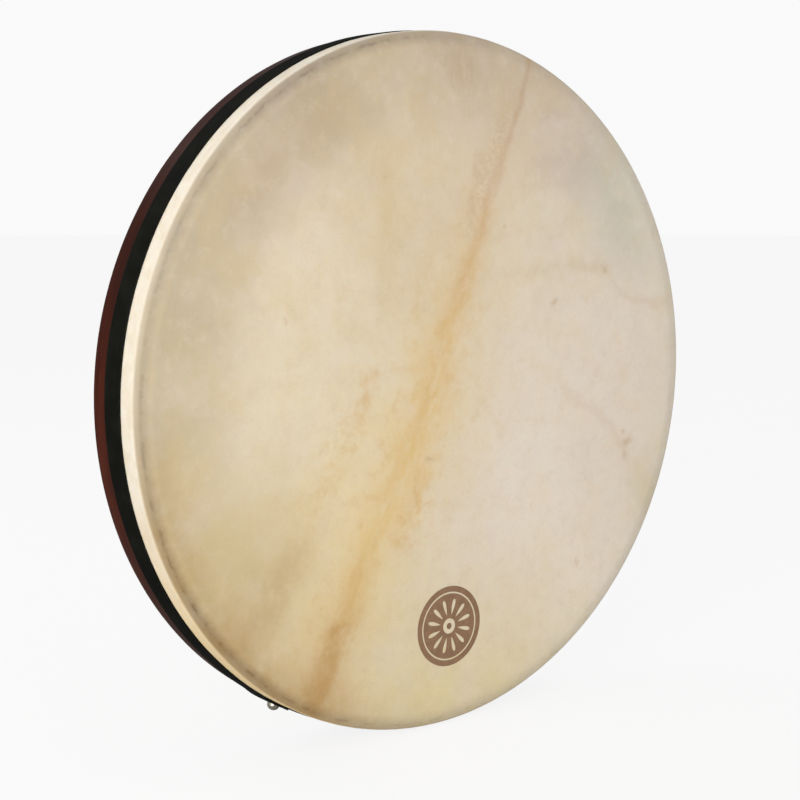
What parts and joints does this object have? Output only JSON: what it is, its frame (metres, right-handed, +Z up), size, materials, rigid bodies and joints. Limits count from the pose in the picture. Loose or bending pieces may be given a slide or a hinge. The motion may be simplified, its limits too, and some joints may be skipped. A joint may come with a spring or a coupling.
{
  "type": "frame drum",
  "caption": "Wide shallow frame drum with a natural skin head, a brown wooden shell, a black trim band, and an internal ring that screw lugs push forward to tune it.",
  "frame": {"origin": "on the drum's axis, half way between the rear rim and the playing surface", "axes": "+Y is the drum's axis, out of the open back; the head faces -Y; +Z is up, with the printed badge at the bottom"},
  "size_m": [0.5624, 0.0636, 0.5624],
  "materials": {
    "shell_wood": "dark reddish-brown stain, satin lacquer",
    "skin": "natural goat skin, dry, matt to satin, with ochre staining",
    "trim": "black fine-grained edge tape",
    "ring_alloy": "drawn flat bar, satin",
    "steel": "turned, bright",
    "bracket_nickel": "nickel-plated casting, satin",
    "screw_steel": "zinc-plated",
    "bolt_steel": "nickel-plated steel",
    "nickel": "polished nickel"
  },
  "bodies": {
    "shell_body": {"shell": "shell_wood", "drum_head": "skin", "trim_band": "trim", "tuning_bracket_1": "bracket_nickel", "tuning_bracket_2": "bracket_nickel", "tuning_bracket_3": "bracket_nickel", "tuning_bracket_4": "bracket_nickel", "tuning_bracket_5": "bracket_nickel", "tuning_bracket_6": "bracket_nickel", "tuning_bracket_7": "bracket_nickel", "tuning_bracket_8": "bracket_nickel", "bracket_screws": "screw_steel", "shell_bolt": "nickel", "shell_bolt_washers": "nickel", "shell_bolt_nut": "nickel"},
    "ring_body": {"tuning_ring": "ring_alloy", "thrust_pads": "steel"},
    "bolt_1": {"tuning_bolt_1": "bolt_steel"},
    "bolt_2": {"tuning_bolt_2": "bolt_steel"},
    "bolt_3": {"tuning_bolt_3": "bolt_steel"},
    "bolt_4": {"tuning_bolt_4": "bolt_steel"},
    "bolt_5": {"tuning_bolt_5": "bolt_steel"},
    "bolt_6": {"tuning_bolt_6": "bolt_steel"},
    "bolt_7": {"tuning_bolt_7": "bolt_steel"},
    "bolt_8": {"tuning_bolt_8": "bolt_steel"}
  },
  "joints": [
    {"name": "ring_lift", "type": "slide", "parent": "shell_body", "child": "ring_body", "axis": [0, -1, 0], "range_m": [-0.0007, 0.002], "deforming": ["drum_head"]},
    {"name": "bolt_turn_1", "type": "hinge", "parent": "ring_body", "child": "bolt_1", "pos_m": [0.2635, 0, 0], "axis": [0, -1, 0], "range_deg": [-257, 725]},
    {"name": "bolt_turn_2", "type": "hinge", "parent": "ring_body", "child": "bolt_2", "pos_m": [0.18632, 0, 0.18632], "axis": [0, -1, 0], "range_deg": [-257, 725]},
    {"name": "bolt_turn_3", "type": "hinge", "parent": "ring_body", "child": "bolt_3", "pos_m": [0, 0, 0.2635], "axis": [0, -1, 0], "range_deg": [-257, 725]},
    {"name": "bolt_turn_4", "type": "hinge", "parent": "ring_body", "child": "bolt_4", "pos_m": [-0.18632, 0, 0.18632], "axis": [0, -1, 0], "range_deg": [-257, 725]},
    {"name": "bolt_turn_5", "type": "hinge", "parent": "ring_body", "child": "bolt_5", "pos_m": [-0.2635, 0, 0], "axis": [0, -1, 0], "range_deg": [-257, 725]},
    {"name": "bolt_turn_6", "type": "hinge", "parent": "ring_body", "child": "bolt_6", "pos_m": [-0.18632, 0, -0.18632], "axis": [0, -1, 0], "range_deg": [-257, 725]},
    {"name": "bolt_turn_7", "type": "hinge", "parent": "ring_body", "child": "bolt_7", "pos_m": [0, 0, -0.2635], "axis": [0, -1, 0], "range_deg": [-257, 725]},
    {"name": "bolt_turn_8", "type": "hinge", "parent": "ring_body", "child": "bolt_8", "pos_m": [0.18632, 0, -0.18632], "axis": [0, -1, 0], "range_deg": [-257, 725]}
  ],
  "couplings": [
    {"joint": "bolt_turn_1", "follows": "ring_lift", "rad_per_m": 6283.2},
    {"joint": "bolt_turn_2", "follows": "ring_lift", "rad_per_m": 6283.2},
    {"joint": "bolt_turn_3", "follows": "ring_lift", "rad_per_m": 6283.2},
    {"joint": "bolt_turn_4", "follows": "ring_lift", "rad_per_m": 6283.2},
    {"joint": "bolt_turn_5", "follows": "ring_lift", "rad_per_m": 6283.2},
    {"joint": "bolt_turn_6", "follows": "ring_lift", "rad_per_m": 6283.2},
    {"joint": "bolt_turn_7", "follows": "ring_lift", "rad_per_m": 6283.2},
    {"joint": "bolt_turn_8", "follows": "ring_lift", "rad_per_m": 6283.2}
  ]
}
